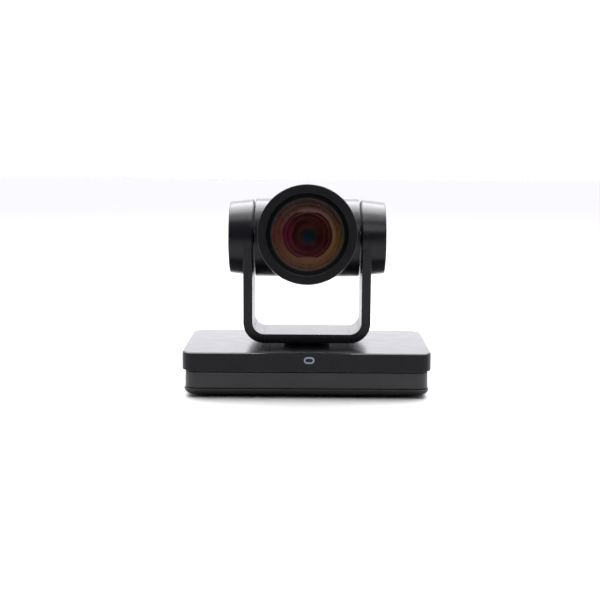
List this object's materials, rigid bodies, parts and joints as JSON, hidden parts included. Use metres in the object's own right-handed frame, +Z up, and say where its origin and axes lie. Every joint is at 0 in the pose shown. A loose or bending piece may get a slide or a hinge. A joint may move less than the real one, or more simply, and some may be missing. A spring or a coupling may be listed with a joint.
{
  "type": "ptz camera",
  "caption": "Pan-tilt-zoom conference camera: flat base with rear sockets, turning U-shaped yoke and a tilting drum head with a hooded zoom lens.",
  "frame": {"origin": "on the floor under the pan axis, at the middle of the base", "axes": "+Z up along the pan axis, -Y the way the lens looks, +X to the right seen from in front"},
  "size_m": [0.25, 0.145, 0.2148],
  "materials": {
    "cover_plastic": "satin dark grey, fine texture",
    "band_plastic": "satin mid grey",
    "pan_plastic": "satin black",
    "foot_rubber": "matte",
    "brass": "machined",
    "screw_steel": "black zinc",
    "panel_metal": "fine black powder coat",
    "port_metal": "nickel plated",
    "bnc_metal": "bright nickel",
    "port_plastic": "semi-gloss",
    "dial_plastic": "satin",
    "circuit_board": "solder mask",
    "aluminium": "machined",
    "sheet_steel": "zinc plated",
    "bearing_steel": "ground",
    "motor_metal": "satin",
    "cable_rubber": "satin",
    "hood_plastic": "satin black",
    "lens_black": "anodised black",
    "coated_glass": "multi-coated, amber and magenta reflections"
  },
  "bodies": {
    "base": {"base_cover": "cover_plastic", "base_frame": "band_plastic", "bottom_pan": "pan_plastic", "rubber_feet": "foot_rubber", "tripod_insert": "brass", "bottom_screws": "screw_steel", "rear_panel": "panel_metal", "hdmi_port": "port_metal", "sdi_port": "bnc_metal", "usb_port": "port_metal", "lan_port": "port_metal", "audio_jacks": "port_plastic", "serial_ports": "port_plastic", "dc_jack": "port_plastic", "main_board": "circuit_board", "heat_sink": "aluminium", "pan_plate": "sheet_steel", "pan_bearing_outer": "bearing_steel", "pan_motor": "motor_metal"},
    "selector": {"selector_dial": "dial_plastic"},
    "pan_motor_shaft": {"pan_pinion": "brass"},
    "yoke": {"yoke_bracket": "sheet_steel", "left_arm": "cover_plastic", "right_arm": "cover_plastic", "yoke_bridge": "cover_plastic", "pan_spindle": "aluminium", "pan_gear": "aluminium", "pan_bearing_inner": "bearing_steel", "left_cap": "cover_plastic", "right_cap": "cover_plastic", "tilt_motor": "motor_metal", "tilt_bearing_outers": "bearing_steel", "bearing_balls": "bearing_steel", "yoke_screws": "screw_steel", "yoke_harness": "cable_rubber"},
    "tilt_motor_shaft": {"tilt_pinion": "brass"},
    "head": {"head_front_shell": "cover_plastic", "head_rear_shell": "cover_plastic", "hood_ring": "hood_plastic", "hood_liner": "hood_plastic", "lens_retainer": "lens_black", "front_lens": "coated_glass", "lens_barrel": "lens_black", "front_baffle": "lens_black", "iris_plate": "lens_black", "left_tilt_shaft": "bearing_steel", "right_tilt_shaft": "bearing_steel", "tilt_gear": "brass", "tilt_bearing_inners": "bearing_steel", "head_frame": "sheet_steel", "image_sensor": "circuit_board", "guide_rods": "bearing_steel", "lens_motors": "motor_metal"},
    "zoom_group": {"zoom_carriage": "lens_black", "zoom_lens": "coated_glass"},
    "zoom_motor_shaft": {"zoom_screw": "brass"},
    "focus": {"focus_group": "lens_black"},
    "focus_motor_shaft": {"focus_screw": "brass"},
    "iris_upper": {"iris_blade_upper": "lens_black"},
    "iris_lower": {"iris_blade_lower": "lens_black"}
  },
  "joints": [
    {"name": "pan", "type": "hinge", "parent": "base", "child": "yoke", "pos_m": [0, 0, 0.032], "axis": [0, 0, 1], "range_deg": [-170, 170]},
    {"name": "tilt", "type": "hinge", "parent": "yoke", "child": "head", "pos_m": [0, 0, 0.1554], "axis": [-1, 0, 0], "range_deg": [-36, 84]},
    {"name": "pan_pinion_turn", "type": "hinge", "parent": "base", "child": "pan_motor_shaft", "pos_m": [-0.045, 0, 0.032], "axis": [0, 0, 1], "range_deg": [-681, 681]},
    {"name": "tilt_pinion_turn", "type": "hinge", "parent": "yoke", "child": "tilt_motor_shaft", "pos_m": [-0.069, 0, 0.1338], "axis": [-1, 0, 0], "range_deg": [-253, 109]},
    {"name": "zoom_slide", "type": "slide", "parent": "head", "child": "zoom_group", "axis": [0, 0.9945, -0.1045], "range_m": [0, 0.016]},
    {"name": "zoom_screw_turn", "type": "hinge", "parent": "head", "child": "zoom_motor_shaft", "pos_m": [0.023, 0.00017, 0.15699], "axis": [0, 0.9945, -0.1045], "range_deg": [-5, 2885]},
    {"name": "focus_slide", "type": "slide", "parent": "head", "child": "focus", "axis": [0, 0.9945, -0.1045], "range_m": [-0.002, 0.004]},
    {"name": "focus_screw_turn", "type": "hinge", "parent": "head", "child": "focus_motor_shaft", "pos_m": [-0.023, 0.00017, 0.15699], "axis": [0, 0.9945, -0.1045], "range_deg": [-365, 725]},
    {"name": "iris_close", "type": "slide", "parent": "head", "child": "iris_upper", "axis": [0, -0.1045, -0.9945], "range_m": [0, 0.007]},
    {"name": "iris_lower_close", "type": "slide", "parent": "head", "child": "iris_lower", "axis": [0, 0.1045, 0.9945], "range_m": [0, 0.007]},
    {"name": "selector_turn", "type": "hinge", "parent": "base", "child": "selector", "pos_m": [-0.08678, 0.06, 0.0226], "axis": [0, 1, 0], "continuous": true}
  ],
  "couplings": [
    {"joint": "pan_pinion_turn", "follows": "pan", "ratio": -4},
    {"joint": "tilt_pinion_turn", "follows": "tilt", "ratio": -3},
    {"joint": "zoom_screw_turn", "follows": "zoom_slide", "rad_per_m": 3141.6},
    {"joint": "focus_screw_turn", "follows": "focus_slide", "rad_per_m": 3141.6},
    {"joint": "iris_lower_close", "follows": "iris_close", "ratio": 1}
  ]
}
